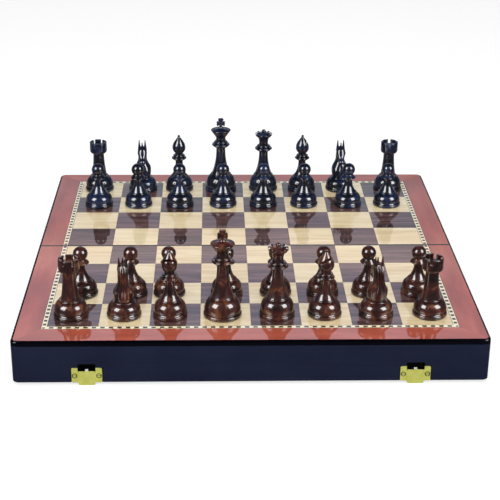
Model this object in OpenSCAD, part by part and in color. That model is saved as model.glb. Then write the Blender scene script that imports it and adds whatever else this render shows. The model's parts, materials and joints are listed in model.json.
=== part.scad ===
// Folding chess box. Two shallow trays, hinged at the middle of their rims, are laid
// open as a playing board, and a full set of turned pieces stands on it. Millimetres.
// The origin is at the middle of the underside. X runs to the right along the fold,
// Y runs away from the brown player, and Z runs up.

/* [Playing board] */
// Side of one square
square = 43; // [41:0.5:46]
// Width of the chequered inlay strip round the squares
strip_w = 5; // [3:0.5:7]
// Width of the plain border veneer outside the strip
band_w = 20.8; // [14:0.2:28]
// Thickness of the veneers let into the panel
veneer_t = 0.6; // [0.4:0.1:1]

/* [Half boxes] */
// Height of one half box, from its rim to the playing surface
half_h = 38; // [36:0.5:50]
// Thickness of the side walls
wall_t = 9; // [8:0.5:12]
// Thickness of the panel under the playing surface
panel_t = 4.6; // [3.6:0.2:7]
// Radius of the upright outer corners
corner_r = 6; // [4:0.5:9]
// Radius of the black rounded edge round the playing surface
edge_r = 2.2; // [1:0.2:3]
// Gap between the two half boxes along the fold
fold_gap = 1; // [0.3:0.1:1.4]
// Gap between the two rims when the box is shut
shut_gap = 0.3; // [0.2:0.1:0.8]
// Glue line between two pieces of wood in one layer
glue_gap = 0.1; // [0.06:0.02:0.2]

/* [Inside] */
// Thickness of the felt lining
felt_t = 0.8; // [0.5:0.1:2]
// Height of the dividers
divider_h = 20; // [12:1:26]
// Thickness of the dividers
divider_t = 4; // [3:0.5:6]
// Depth of the row of wide bays beside the fold
wide_bay = 72; // [50:1:90]
// Number of narrow bays along the outer side
narrow_bays = 8; // [4:1:10]
// Number of wide bays along the fold
wide_bays = 4; // [2:1:6]

/* [Hinges] */
// Distance from the middle of the board to the middle of each hinge
hinge_x = 125; // [60:1:160]
// Length of one hinge
hinge_l = 30; // [20:1:50]
// Number of knuckles in one hinge
knuckles = 5; // [3:2:7]
// Outer radius of the knuckles
knuckle_r = 2; // [1.8:0.1:2.6]
// Radius of the hinge pin
hinge_pin_r = 0.9; // [0.6:0.1:1.1]
// Width of a hinge leaf, measured from the fold
leaf_w = 7.5; // [6:0.5:8]
// Thickness of a hinge leaf
leaf_t = 1.2; // [0.8:0.1:1.5]

/* [Latches] */
// Distance from the middle of the board to the middle of each latch
latch_x = 137.5; // [80:0.5:160]
// Width of the latch plate
plate_w = 25.4; // [24:0.2:32]
// Height of the latch plate
plate_h = 13.3; // [12:0.1:18]
// Thickness of the latch plate and the keeper
plate_t = 1; // [0.8:0.1:1.4]
// Depth that the latch plate and the keeper are let into the wall
plate_in = 0.5; // [0.1:0.1:0.8]
// Gap between a plate and the edge of its recess
plate_gap = 0.6; // [0.2:0.1:1]
// Width of the press flap
flap_w = 14.2; // [11:0.2:16]
// Distance from the top of the plate down to the top of the flap
flap_set = 2.5; // [1:0.1:4]
// How far the flap reaches past the rim
flap_drop = 1.9; // [1.8:0.1:2]
// Thickness of the flap
flap_t = 0.9; // [0.7:0.1:1.2]
// Height of the finger pocket above the flap
pocket_rise = 6.3; // [4:0.1:9]
// Depth of the finger pocket
pocket_d = 5; // [4:0.2:6]
// Angle that the flap turns when it is pressed
press_angle = 14; // [8:1:16]
// Radius of the latch pin
latch_pin_r = 0.7; // [0.5:0.1:0.9]
// Width of the keeper
keeper_w = 20; // [19:0.5:24]
// Height of the keeper
keeper_h = 10; // [8:0.5:14]
// Width of the leaf spring behind the flap
spring_w = 2.6; // [2:0.1:4]
// Thickness of the leaf spring
spring_t = 0.3; // [0.2:0.05:0.4]
// How far the leaf spring reaches above the flap
spring_rise = 1; // [0.4:0.1:2]

/* [Screws] */
// Head radius of the latch screws
latch_head_r = 2; // [1.5:0.1:2.4]
// Head radius of the hinge screws
hinge_head_r = 1.6; // [1.2:0.1:1.8]
// Shank radius of the screws
shank_r = 0.8; // [0.6:0.1:1]
// Length of the screws
screw_l = 7; // [5:0.5:8]

/* [King] */
// Height of the king
king_h = 79; // [75:0.5:86]
// Radius of the king's foot
king_foot_r = 16.6; // [15.5:0.1:18]
// Height at which the king's stem meets its collar
king_collar_z = 47.5; // [44:0.5:50]

/* [Queen] */
// Height of the queen
queen_h = 67.1; // [65:0.1:74]
// Radius of the queen's foot
queen_foot_r = 15.3; // [14.5:0.1:17]
// Height at which the queen's stem meets its collar
queen_collar_z = 43.4; // [40:0.2:45]

/* [Bishop] */
// Height of the bishop
bishop_h = 62.5; // [60:0.5:68]
// Radius of the bishop's foot
bishop_foot_r = 14.8; // [14:0.1:16]
// Height at which the bishop's stem meets its collar
bishop_collar_z = 32.8; // [30:0.2:34]

/* [Knight] */
// Height of the knight
knight_h = 54.8; // [52:0.2:60]
// Radius of the knight's foot
knight_foot_r = 15; // [14:0.1:16]
// Height of the turned base under the horse's head
knight_base_z = 14.6; // [13:0.2:16]
// Width across the horse's shoulders
shoulder_w = 17.6; // [15:0.2:19]
// Width across the horse's head
head_w = 9.6; // [8:0.2:11]

/* [Rook] */
// Height of the rook
rook_h = 54.5; // [50:0.5:60]
// Radius of the rook's foot
rook_foot_r = 15; // [14:0.1:16]
// Radius of the rook's turret
turret_r = 8.95; // [8:0.05:10]
// Height of the rook's turret
turret_h = 10.1; // [9:0.1:13]
// Number of merlons round the turret
merlons = 6; // [4:1:8]
// Width of the gap between two merlons
merlon_gap = 2.4; // [1.5:0.1:3]
// Depth of the gap between two merlons
merlon_h = 4.6; // [3:0.1:6]

/* [Pawn] */
// Height of the pawn
pawn_h = 45.2; // [43:0.2:50]
// Radius of the pawn's foot
pawn_foot_r = 14.3; // [13:0.1:15]
// Radius of the pawn's ball
pawn_ball_r = 6.5; // [5.5:0.1:7.5]
// Height at which the pawn's stem meets its collar
pawn_collar_z = 28.6; // [26:0.2:30]

/* [Hidden] */
FILES = ["a", "b", "c", "d", "e", "f", "g", "h"];
files = len(FILES);
BACK_RANK = ["rook", "knight", "bishop", "king", "queen", "bishop", "knight", "rook"];
BOX_NODES = [
    "front_frame", "front_panel", "front_light_squares", "front_dark_squares",
    "front_border_band", "front_inlay_strip", "front_lining", "front_dividers",
    "front_hinge_leaves", "hinge_pins", "latch_plates", "latch_pins", "latch_springs",
    "front_screws", "left_latch_flap", "right_latch_flap",
    "rear_frame", "rear_panel", "rear_light_squares", "rear_dark_squares",
    "rear_border_band", "rear_inlay_strip", "rear_lining", "rear_dividers",
    "rear_hinge_leaves", "keepers", "rear_screws"
];
$fn = 48;
over = 1;

// Heights, measured up from the surface that the board lies on
rim_z = knuckle_r + shut_gap / 2;
fold_z = rim_z - shut_gap / 2;
top_z = rim_z + half_h;
recess_z = top_z - veneer_t;
panel_z = top_z - panel_t;
felt_z = panel_z - felt_t;

// Plan of the open board
ranks = files / 2;
field_w = files * square;
inlay_w = field_w + 2 * strip_w;
board_w = inlay_w + 2 * (band_w + edge_r);
side_x = board_w / 2;
seam_y = fold_gap / 2;
near_y = seam_y + wall_t;
far_y = side_x - wall_t;

// Hinge and latch fits
pin_clear = 0.05;
knuckle_clear = 0.3;
knuckle_l = hinge_l / knuckles;
end_clear = 0.1;
leaf_reach = seam_y + leaf_w;
hinge_screw_y = (knuckle_r + knuckle_clear + leaf_reach) / 2;
screw_clear = 0.05;
flap_side_clear = 0.4;
pocket_w = flap_w + 2 * flap_side_clear;
pocket_corner_r = 1;
plate_corner_r = 1.2;
flap_corner_r = 1.6;
ear_t = 0.8;
ear_r = 1.6;
cheek_t = 0.8;
cheek_back = 2;
cheek_h = 4.4;
cheek_bevel = 0.6;
flap_gap = 0.3;
bridge_h = 3;
seat_y = side_x - plate_in;
flap_y = seat_y + plate_t + flap_gap;
flap_top_z = rim_z + plate_h - flap_set;
flap_low_z = rim_z - flap_drop;
pocket_top_z = flap_top_z + pocket_rise;
latch_pin_in = 1.4;
latch_pin_down = 0.7;
latch_pin_y = seat_y - latch_pin_in;
latch_pin_z = rim_z + plate_h / 2 - latch_pin_down;
latch_pin_l = pocket_w + 2;
spring_clear = 0.25;
spring_y = latch_pin_y + latch_pin_r + spring_clear;
latch_screw_down = 0.4;
latch_screw_x = (plate_w + pocket_w) / 4;
latch_screw_z = rim_z + plate_h / 2 - latch_screw_down;
hook_t = 0.7;
hook_clear = 0.3;
hook_side_clear = 0.5;
lip_h = 0.8;
window_h = 1.7;
window_w = 7;
hook_w = window_w - 2 * hook_side_clear;
keeper_margin = 3.4;
keeper_screw_x = keeper_w / 2 - keeper_margin;
keeper_screw_z = rim_z + keeper_h - keeper_margin;

// Screw head slot and point
slot_w = 0.5;
slot_h = 0.4;
tip_l = 1;
tip_r = 0.2;

// How far each piece stands from the middle of its square, as the players left it
brown_back_dx = [-3.5, -1, -4.5, -2.5, 1.5, -0.5, 1, 4.5];
brown_pawn_dx = [2, 3, -6.5, 1.5, 2, 1, -2, -0.5];
black_pawn_dx = [0, -2, -2, 0, -1, -1.5, 1.5, -0.5];
black_back_dx = [-3, 0.5, -3.5, -2, 0.5, -1, -3, 6];
rank_dy = [0, 0, 1, 4];
// Turn of each bishop's slit and of each knight's head from facing along the board
brown_turn = [0, 4, -90, 0, 0, -62, 12, 10];
black_turn = [6, 182, 90, 0, 0, 0, 182, 25];

brown = "#3b2016";
black = "#11142a";
lacquer = "#1b2033";
brass = "#c9c45e";
spring_steel = "#d5d8dc";

// Points along an arc round centre c, from angle a0 to a1
function arc_points(c, r, a0, a1, n) =
    [for (i = [0:n]) let (a = a0 + (a1 - a0) * i / n) c + r * [cos(a), sin(a)]];

// Points up a stem that narrows fast above its foot and then runs nearly straight
function stem_points(r0, z0, r1, z1, power, n = 9) =
    [for (i = [0:n]) let (u = i / n) [r1 + (r0 - r1) * pow(1 - u, power), z0 + (z1 - z0) * u]];

// One span of a smooth curve through four neighbouring points
function span_point(p, q, r, s, u) =
    0.5 * (2 * q + (r - p) * u + (2 * p - 5 * q + 4 * r - s) * u * u
    + (3 * q - p - 3 * r + s) * u * u * u);

// Points of a smooth curve through a list of points, with sharp ends
function smooth_points(pts, n = 4) =
    let (last = len(pts) - 1)
    concat(
        [for (k = [0:last - 1], i = [0:n - 1])
            span_point(pts[max(k - 1, 0)], pts[k], pts[k + 1], pts[min(k + 2, last)], i / n)],
        [pts[last]]
    );

// Turned foot: a rounded disc, a bulging dome and a bead at dome_h + bead_s
bead_s = 0.8;
foot_h = 3.6;
function foot_points(foot_r, dome_h, bead_r) =
    let (inner = bead_r - 1.2, widest = foot_r - 0.7, mid_z = 5.8)
    concat(
        [[0, 0]],
        arc_points([foot_r - 1, 1], 1, -90, 0, 3),
        arc_points([foot_r - 1.4, foot_h - 1.4], 1.4, 0, 80, 4),
        [for (i = [0:8]) let (a = -35 + 125 * i / 8)
            [inner + (widest - inner) * cos(a),
            mid_z + (dome_h - mid_z) * (a < 0 ? 0.3 : 1) * sin(a)]],
        arc_points([bead_r - bead_s, dome_h + bead_s], bead_s, -80, 80, 4)
    );
function bead_top(dome_h) = dome_h + 2 * bead_s;

// Collar: a thin wide disc, a smaller bead above it and a slope up to the neck
function collar_points(z, edge_r, edge_dz, bead_r, bead_dz, neck_r, neck_dz) =
    concat(
        [[edge_r - 2.4, z + 0.2]],
        arc_points([edge_r - 0.6, z + edge_dz], 0.6, -60, 60, 4),
        arc_points([bead_r - 0.6, z + bead_dz], 0.6, -70, 60, 3),
        [[neck_r + 0.4, z + neck_dz - 1], [neck_r, z + neck_dz]]
    );

// Queen: stem, collar and a flared cup that rises to a domed cap with a ball on it
queen_stem_r = 4.6;
queen_bead_r = 10.3;
queen_dome_h = 15.8;
coronet_r = 9;
coronet_z = queen_h - 6.9;
queen_ball_r = 2.4;
tines = 8;
tine_gap_r = 1.9;
tine_gap_l = 6;
tine_gap_z = coronet_z + 2.2;
queen_outline = concat(
    foot_points(queen_foot_r, queen_dome_h, queen_bead_r),
    stem_points(queen_bead_r - 1, bead_top(queen_dome_h), queen_stem_r, queen_collar_z, 2.4),
    collar_points(queen_collar_z, 9.1, 2.5, 7, 5.5, queen_stem_r, 9.2),
    smooth_points([
        [queen_stem_r + 0.1, coronet_z - 6.5], [5.6, coronet_z - 3.5],
        [coronet_r - 0.7, coronet_z - 0.9]
    ]),
    [[coronet_r, coronet_z + 0.3], [coronet_r - 0.1, coronet_z + 1.6]],
    [[coronet_r - 0.8, coronet_z + 2.4], [7.2, coronet_z + 2]],
    smooth_points([[6.4, coronet_z + 1.5], [4.4, coronet_z + 2.9], [1.9, queen_h - 3.9]]),
    arc_points([0, queen_h - queen_ball_r], queen_ball_r, -40, 90, 6)
);

// King: stem, collar and a straight flared cup under a low cap that carries the cross
king_stem_r = 4.75;
king_bead_r = 10.8;
king_dome_h = 16.6;
king_cup_r = 10.4;
king_cup_z = king_h - 12.6;
cross_z = king_h - 10;
cross_t = 3.4;
king_outline = concat(
    foot_points(king_foot_r, king_dome_h, king_bead_r),
    stem_points(king_bead_r - 1, bead_top(king_dome_h), king_stem_r, king_collar_z, 2.4),
    collar_points(king_collar_z, 9.4, 2.7, 7.2, 5.8, king_stem_r + 0.2, 9.6),
    [[king_stem_r + 0.3, king_cup_z - 7.6], [5.6, king_cup_z - 7]],
    arc_points([king_cup_r - 0.5, king_cup_z], 0.5, -35, 60, 4),
    smooth_points([[9.4, king_cup_z + 0.8], [5.5, king_cup_z + 2.1], [2.6, cross_z]]),
    [[2.1, cross_z + 1], [0, cross_z + 1]]
);
cross_outline = [
    [1.7, 0], [1.2, 3.2], [3.8, 2.6], [4.4, 3.6], [4.4, 5.6], [3.8, 6.6], [1.3, 6],
    [2.3, 9.2], [1.6, 10], [-1.6, 10], [-2.3, 9.2], [-1.3, 6], [-3.8, 6.6],
    [-4.4, 5.6], [-4.4, 3.6], [-3.8, 2.6], [-1.2, 3.2], [-1.7, 0]
];

// Bishop: stem, collar and an egg-shaped mitre with a small ball on it
bishop_stem_r = 3.8;
bishop_bead_r = 9.4;
bishop_dome_h = 14.2;
mitre_r = 6.95;
mitre_z = bishop_h - 15.3;
bishop_ball_r = 1.95;
bishop_outline = concat(
    foot_points(bishop_foot_r, bishop_dome_h, bishop_bead_r),
    stem_points(bishop_bead_r - 1, bead_top(bishop_dome_h), bishop_stem_r, bishop_collar_z, 2.4),
    collar_points(bishop_collar_z, 7.8, 2.4, 6.2, 5.4, bishop_stem_r + 0.1, 8.2),
    smooth_points([
        [4.3, mitre_z - 5.4], [6, mitre_z - 2.9], [mitre_r, mitre_z], [6.3, mitre_z + 3.6],
        [4.2, mitre_z + 8], [1.4, mitre_z + 11.6]
    ]),
    arc_points([0, bishop_h - bishop_ball_r], bishop_ball_r, -42, 90, 6)
);
slit_t = 1.1;
slit_angle = 56;
slit_x = 1.6;
slit_z = mitre_z + 1.2;

// Rook: a stem with straighter sides and a turret whose top is hollow
rook_stem_r = 5.8;
rook_bead_r = 9.8;
rook_dome_h = 14.4;
turret_wall = 2.4;
turret_z = rook_h - turret_h;
rook_outline = concat(
    foot_points(rook_foot_r, rook_dome_h, rook_bead_r),
    stem_points(rook_bead_r - 0.8, bead_top(rook_dome_h), rook_stem_r, turret_z - 3.2, 1.4),
    [
        [rook_stem_r + 0.5, turret_z - 2.8], [turret_r, turret_z], [turret_r, rook_h - 0.4],
        [turret_r - 0.4, rook_h], [turret_r - turret_wall, rook_h],
        [turret_r - turret_wall, rook_h - merlon_h], [0, rook_h - merlon_h - 0.6]
    ]
);

// Pawn: stem, collar and a ball
pawn_stem_r = 3.6;
pawn_bead_r = 9.2;
pawn_dome_h = 13.2;
pawn_ball_z = pawn_h - pawn_ball_r;
pawn_outline = concat(
    foot_points(pawn_foot_r, pawn_dome_h, pawn_bead_r),
    stem_points(pawn_bead_r - 1, bead_top(pawn_dome_h), pawn_stem_r, pawn_collar_z, 2.2),
    [[5.2, pawn_collar_z + 0.2]],
    arc_points([6.9, pawn_collar_z + 1.7], 0.5, -50, 60, 4),
    [[4.6, pawn_ball_z - 5.2]],
    arc_points([0, pawn_ball_z], pawn_ball_r, -44, 90, 10)
);

// Knight: a turned foot that ends in a flat step, and a carved horse's head on it. The
// carving is drawn on a foot 30 wide and 40.2 tall, and follows the knight's own sizes.
knight_bead_r = 9.8;
knight_dome_h = 13;
carve_z = (knight_h - knight_base_z) / 40.2;
carve_x = knight_foot_r / 15;
knight_foot_outline = concat(
    foot_points(knight_foot_r, knight_dome_h, knight_bead_r),
    [[0, bead_top(knight_dome_h)]]
);
// Level slices of the neck: height, back, front, half width as a share of the shoulders'
// (below) or the head's (above), depth of the mane's flutes and of the chest's crease
shoulder = shoulder_w / 2;
cheek = head_w / 2;
NECK = [
    [-0.8, -8.4, 8.4, shoulder * 0.84, 0, 0.06], [2.4, -9.4, 9.2, shoulder * 0.95, 0, 0.15],
    [6.6, -10.1, 8.8, shoulder, 0.03, 0.2], [10.6, -10.4, 6.9, shoulder * 0.96, 0.06, 0.15],
    [14.6, -10.2, 4.4, shoulder * 0.76, 0.09, 0.05], [18.6, -9.7, 3.1, shoulder * 0.61, 0.12, 0],
    [22.6, -8.8, 3.4, cheek * 1.02, 0.13, 0], [26.6, -7.6, 4.8, cheek * 0.98, 0.13, 0],
    [30.6, -5.8, 4.9, cheek * 0.97, 0.12, 0], [33.2, -4.2, 3.9, cheek * 0.88, 0.08, 0],
    [34.7, -2.9, 2.3, cheek * 0.66, 0.03, 0], [35.3, -1.8, 1, cheek * 0.32, 0, 0]
];
// Slices across the head: distance from its root, reach to the brow and to the jaw, and
// half width as a share of the head's
HEAD = [
    [0, 4.3, 6.2, cheek * 0.94], [3.2, 4.5, 7.2, cheek], [6.4, 3.6, 6.4, cheek * 0.94],
    [9.4, 2.7, 3.8, cheek * 0.74], [12.4, 2.5, 2.9, cheek * 0.62], [15, 2.9, 3, cheek * 0.67],
    [16.8, 2.5, 2.7, cheek * 0.6], [17.6, 1.3, 1.4, cheek * 0.34]
];
head_root = [0.4, 30.4];
head_drop = 48.9;
flutes = 12;
carve_sides = 24;
ear_root = [-1.4, 3.1, 30.6];
ear_root_r = 1.9;
ear_tip_r = 0.4;
forelock_root = [1.7, 0, 31.6];
forelock_short = 1.8;

// Slice of the neck. The flutes run round its back and the crease parts its front.
function neck_ring(row) =
    [for (k = [0:carve_sides - 1]) let (
        a = k * 360 / carve_sides,
        flute = row[4] * max(0, -cos(a)) * (1 - cos(flutes * a)) / 2,
        crease = row[5] * max(0, 1 - abs(sin(2 * a))) * (cos(a) > 0.7 ? 1 : 0),
        r = 1 - flute - crease
    ) [
        carve_x * ((row[1] + row[2]) / 2 + r * cos(a) * (row[2] - row[1]) / 2),
        row[3] * (1 - flute) * sin(a), knight_base_z + carve_z * row[0]
    ]];

// Slice of the head, square to the line from its root to the muzzle
function head_ring(row) =
    [for (k = [0:carve_sides - 1]) let (
        a = k * 360 / carve_sides,
        reach = cos(a) * (cos(a) > 0 ? row[2] : row[1]),
        x = head_root[0] + row[0] * cos(head_drop) - reach * sin(head_drop),
        z = head_root[1] - row[0] * sin(head_drop) - reach * cos(head_drop)
    ) [carve_x * x, row[3] * sin(a), knight_base_z + carve_z * z]];

// Half board seen from above, inset from its outer sides, with round outer corners
module half_outline(inset) {
    far = side_x - inset;
    r = corner_r - inset;
    translate([-far, seam_y]) square([2 * far, far - seam_y - r]);
    translate([-(far - r), seam_y]) square([2 * (far - r), far - seam_y]);
    for (s = [-1, 1]) translate([s * (far - r), far - r]) circle(r);
}

// Cross-section of the panel's black edge: square below, rounded above
module edge_section() {
    square([corner_r, panel_t - edge_r]);
    square([corner_r - edge_r, panel_t]);
    translate([corner_r - edge_r, panel_t - edge_r]) circle(edge_r);
}

// Region of one wall, cut at 45 degrees at both ends, for a wall along the far side
module mitre_region(length, out, side) {
    half = length / 2;
    polygon([
        [-half - out + glue_gap / 2, out], [half + out - glue_gap / 2, out],
        [half - side - glue_gap / 2, -side], [-half + side + glue_gap / 2, -side]
    ]);
}

// Cylinder along X, centred on the origin
module rod(r, l) {
    rotate([0, 90, 0]) cylinder(r = r, h = l, center = true);
}

// Countersunk screw with a slotted head, its head at the origin and its point along +Z
module screw(head_r, clear = 0) {
    difference() {
        union() {
            cylinder(r1 = head_r + clear, r2 = shank_r + clear, h = head_r - shank_r);
            cylinder(r = shank_r + clear, h = screw_l - tip_l + clear);
            translate([0, 0, screw_l - tip_l + clear])
                cylinder(r1 = shank_r + clear, r2 = tip_r, h = tip_l);
        }
        if (clear == 0) translate([-head_r, -slot_w / 2, -over])
            cube([2 * head_r, slot_w, over + slot_h]);
    }
}

// Copies at the two hinges, given by the middle of each one
module at_hinges() {
    for (s = [-1, 1]) translate([s * hinge_x, 0, 0]) children();
}

// Copies at the hinge screws of one half box
module at_hinge_screws() {
    at_hinges() for (s = [-1, 0, 1]) translate([s * hinge_l / 3, hinge_screw_y, rim_z]) children();
}

// Copies at the two latch places
module at_latches() {
    for (s = [-1, 1]) translate([s * latch_x, 0, 0]) children();
}

// Screws of one latch plate, driven inwards from the outer face
module at_plate_screws(x, z) {
    at_latches() for (s = [-1, 1])
        translate([s * x, seat_y + plate_t, z]) rotate([90, 0, 0]) children();
}

// Four walls of a half box, mitred at the corners and grooved for the hinges
module frame_walls() {
    inner_h = panel_z - rim_z;
    depth = side_x - seam_y;
    mid_y = seam_y + depth / 2;
    difference() {
        translate([0, 0, rim_z]) linear_extrude(inner_h) intersection() {
            half_outline(0);
            union() {
                translate([0, side_x]) mitre_region(board_w, over, wall_t);
                translate([0, seam_y]) mirror([0, 1]) mitre_region(board_w, over, wall_t);
                for (s = [-1, 1]) translate([s * side_x, mid_y]) rotate(-s * 90)
                    mitre_region(depth, over, wall_t);
            }
        }
        at_hinges() {
            translate([0, 0, fold_z]) rod(knuckle_r + knuckle_clear, hinge_l + 2 * knuckle_clear);
            translate([-hinge_l / 2, -over, rim_z - over])
                cube([hinge_l, leaf_reach + over, leaf_t + over]);
        }
        at_hinge_screws() screw(hinge_head_r, screw_clear);
    }
}

// Squares of one colour in a half, where light is true for the light ones
module squares(light) {
    for (i = [0:files - 1], j = [0:ranks - 1]) if (((i + j) % 2 == 1) == light) {
        y0 = max(j * square + glue_gap / 2, seam_y);
        translate([-field_w / 2 + i * square + glue_gap / 2, y0, recess_z])
            cube([square - glue_gap, (j + 1) * square - glue_gap / 2 - y0, veneer_t]);
    }
}

// Border veneer: a U round three sides of the inlay strip
module border_band() {
    in_x = inlay_w / 2 + glue_gap / 2;
    translate([0, 0, recess_z]) linear_extrude(veneer_t) difference() {
        half_outline(edge_r);
        translate([-in_x, 0]) square([2 * in_x, in_x]);
    }
}

// Inlay strip: a U of narrow banding round three sides of the squares
module inlay_strip() {
    out_x = inlay_w / 2 - glue_gap / 2;
    in_x = field_w / 2 + glue_gap / 2;
    translate([0, 0, recess_z]) linear_extrude(veneer_t) difference() {
        translate([-out_x, seam_y]) square([2 * out_x, out_x - seam_y]);
        translate([-in_x, 0]) square([2 * in_x, in_x]);
    }
}

// Panel of a half: square at the fold, rounded along the other three edges, with a
// shallow recess for the veneers
module panel() {
    r = corner_r;
    run_x = board_w - 2 * r;
    run_y = side_x - r - seam_y;
    difference() {
        translate([0, 0, panel_z]) union() {
            translate([-run_x / 2, seam_y, 0]) cube([run_x, run_y, panel_t]);
            translate([-run_x / 2, side_x - r, 0]) rotate([90, 0, 90])
                linear_extrude(run_x) edge_section();
            for (s = [0, 1]) mirror([s, 0, 0]) {
                translate([run_x / 2, side_x - r, 0]) rotate([90, 0, 0])
                    linear_extrude(run_y) edge_section();
                translate([run_x / 2, side_x - r, 0]) rotate_extrude(angle = 90) edge_section();
            }
        }
        translate([0, 0, recess_z]) linear_extrude(veneer_t + over) half_outline(edge_r);
        translate([-side_x + edge_r, -over, recess_z])
            cube([board_w - 2 * edge_r, 2 * over + seam_y, veneer_t + over]);
    }
}

module lining() {
    x = side_x - wall_t - glue_gap;
    translate([-x, near_y + glue_gap, felt_z])
        cube([2 * x, far_y - near_y - 2 * glue_gap, felt_t]);
}

// Long divider with ribs on both sides of it, each cut to butt against its neighbours
module dividers() {
    x = side_x - wall_t - glue_gap;
    low_z = felt_z - divider_h;
    long_y = near_y + wide_bay;
    narrow_pitch = (2 * x + divider_t) / narrow_bays;
    wide_pitch = (2 * x + divider_t) / wide_bays;
    translate([-x, long_y, low_z]) cube([2 * x, divider_t, divider_h]);
    for (i = [1:narrow_bays - 1])
        translate([-x - divider_t + i * narrow_pitch, long_y + divider_t + glue_gap, low_z])
            cube([divider_t, far_y - long_y - divider_t - 2 * glue_gap, divider_h]);
    for (i = [1:wide_bays - 1])
        translate([-x - divider_t + i * wide_pitch, near_y + glue_gap, low_z])
            cube([divider_t, wide_bay - 2 * glue_gap, divider_h]);
}

// Hinge leaves of one half: flat plates let into the rim, with every second knuckle.
// first is 0 for the leaf that has the outer knuckles and 1 for the other.
module hinge_leaves(first) {
    at_hinges() difference() {
        union() {
            translate([-hinge_l / 2, seam_y, rim_z]) cube([hinge_l, leaf_w, leaf_t]);
            for (i = [first:2:knuckles - 1]) {
                x = -hinge_l / 2 + (i + 0.5) * knuckle_l;
                translate([x, 0, fold_z]) rod(knuckle_r, knuckle_l - end_clear);
                translate([x - (knuckle_l - end_clear) / 2, 0, rim_z])
                    cube([knuckle_l - end_clear, leaf_reach / 2, leaf_t]);
            }
        }
        for (i = [1 - first:2:knuckles - 1])
            translate([-hinge_l / 2 + (i + 0.5) * knuckle_l, 0, fold_z])
                rod(knuckle_r + knuckle_clear, knuckle_l + end_clear);
        translate([0, 0, fold_z]) rod(hinge_pin_r + pin_clear, hinge_l + 2 * over);
        for (s = [-1, 0, 1]) translate([s * hinge_l / 3, hinge_screw_y, rim_z])
            screw(hinge_head_r, screw_clear);
    }
}

// Outline of the latch plate, widened by grow at its sides and top
module plate_outline(grow) {
    r = plate_corner_r + grow;
    x = plate_w / 2 + grow;
    h = plate_h + grow;
    translate([-x, 0]) square([2 * x, h - r]);
    translate([-x + r, 0]) square([2 * (x - r), h]);
    for (s = [-1, 1]) translate([s * (x - r), h - r]) circle(r);
}

// Recess, pocket, pin slots and screw holes that the latches take out of the outer wall
module latch_cuts() {
    pocket_low_z = rim_z + bridge_h;
    r = pocket_corner_r;
    at_latches() {
        translate([0, side_x + over, 0]) rotate([90, 0, 0]) linear_extrude(pocket_d + over) {
            translate([-pocket_w / 2, pocket_low_z])
                square([pocket_w, pocket_top_z - pocket_low_z - r]);
            translate([-pocket_w / 2 + r, pocket_low_z])
                square([pocket_w - 2 * r, pocket_top_z - pocket_low_z]);
            for (s = [-1, 1]) translate([s * (pocket_w / 2 - r), pocket_top_z - r]) circle(r);
        }
        translate([0, side_x + over, rim_z]) rotate([90, 0, 0]) linear_extrude(plate_in + over) {
            plate_outline(plate_gap);
            translate([-plate_w / 2 - plate_gap, -over])
                square([plate_w + 2 * plate_gap, 2 * over]);
        }
        translate([0, latch_pin_y, latch_pin_z])
            rod(latch_pin_r + pin_clear, latch_pin_l + 2 * end_clear);
    }
    at_plate_screws(latch_screw_x, latch_screw_z) screw(latch_head_r, screw_clear);
}

// Latch plate: two wings beside the pocket, joined by a low bridge behind the flap, and
// two cheeks that carry the pin, bevelled where the flap swings past them
module latch_plate() {
    difference() {
        translate([0, seat_y + plate_t, rim_z]) rotate([90, 0, 0]) linear_extrude(plate_t) difference() {
            plate_outline(0);
            translate([-pocket_w / 2, bridge_h]) square([pocket_w, plate_h]);
        }
        for (s = [-1, 1]) translate([s * latch_screw_x, seat_y + plate_t, latch_screw_z])
            rotate([90, 0, 0]) screw(latch_head_r, screw_clear);
    }
    for (s = [0, 1]) mirror([s, 0, 0]) difference() {
        translate([pocket_w / 2 - cheek_t, 0, latch_pin_z]) rotate([90, 0, 90])
            linear_extrude(cheek_t) polygon([
                [latch_pin_y - cheek_back, -cheek_h / 2], [seat_y + plate_t, -cheek_h / 2],
                [seat_y + plate_t, cheek_h / 2 - 2 * cheek_bevel],
                [seat_y + plate_t - cheek_bevel, cheek_h / 2], [latch_pin_y - cheek_back, cheek_h / 2]
            ]);
        translate([0, latch_pin_y, latch_pin_z]) rod(latch_pin_r, latch_pin_l);
    }
}

// Press flap: a plate with two ears that turn on the pin, and a hook under the rim
module latch_flap() {
    r = flap_corner_r;
    ear_x = pocket_w / 2 - cheek_t - end_clear;
    body_x = flap_w / 2;
    difference() {
        union() {
            translate([0, flap_y + flap_t, 0]) rotate([90, 0, 0]) linear_extrude(flap_t) {
                translate([-body_x, flap_low_z + r]) square([flap_w, flap_top_z - flap_low_z - r]);
                translate([-body_x + r, flap_low_z]) square([flap_w - 2 * r, flap_top_z - flap_low_z]);
                for (s = [-1, 1]) translate([s * (body_x - r), flap_low_z + r]) circle(r);
            }
            translate([-hook_w / 2, seat_y + hook_clear, flap_low_z])
                cube([hook_w, flap_y - seat_y - hook_clear + flap_t / 2, hook_t]);
            for (s = [0, 1]) mirror([s, 0, 0]) translate([ear_x - ear_t, 0, 0]) {
                translate([0, latch_pin_y, latch_pin_z - ear_r])
                    cube([ear_t, flap_y + flap_t / 2 - latch_pin_y, 2 * ear_r]);
                translate([ear_t / 2, latch_pin_y, latch_pin_z]) rod(ear_r, ear_t);
            }
        }
        translate([0, latch_pin_y, latch_pin_z]) rod(latch_pin_r + pin_clear, pocket_w);
    }
}

// Leaf spring of one latch: its foot lies on the pocket's floor and its blade stands
// behind the flap
module latch_spring() {
    low_z = rim_z + bridge_h;
    back_y = side_x - pocket_d;
    translate([-spring_w / 2, back_y, low_z]) cube([spring_w, spring_y + spring_t - back_y, spring_t]);
    translate([-spring_w / 2, spring_y, low_z])
        cube([spring_w, spring_t, flap_top_z + spring_rise - low_z]);
}

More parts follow.
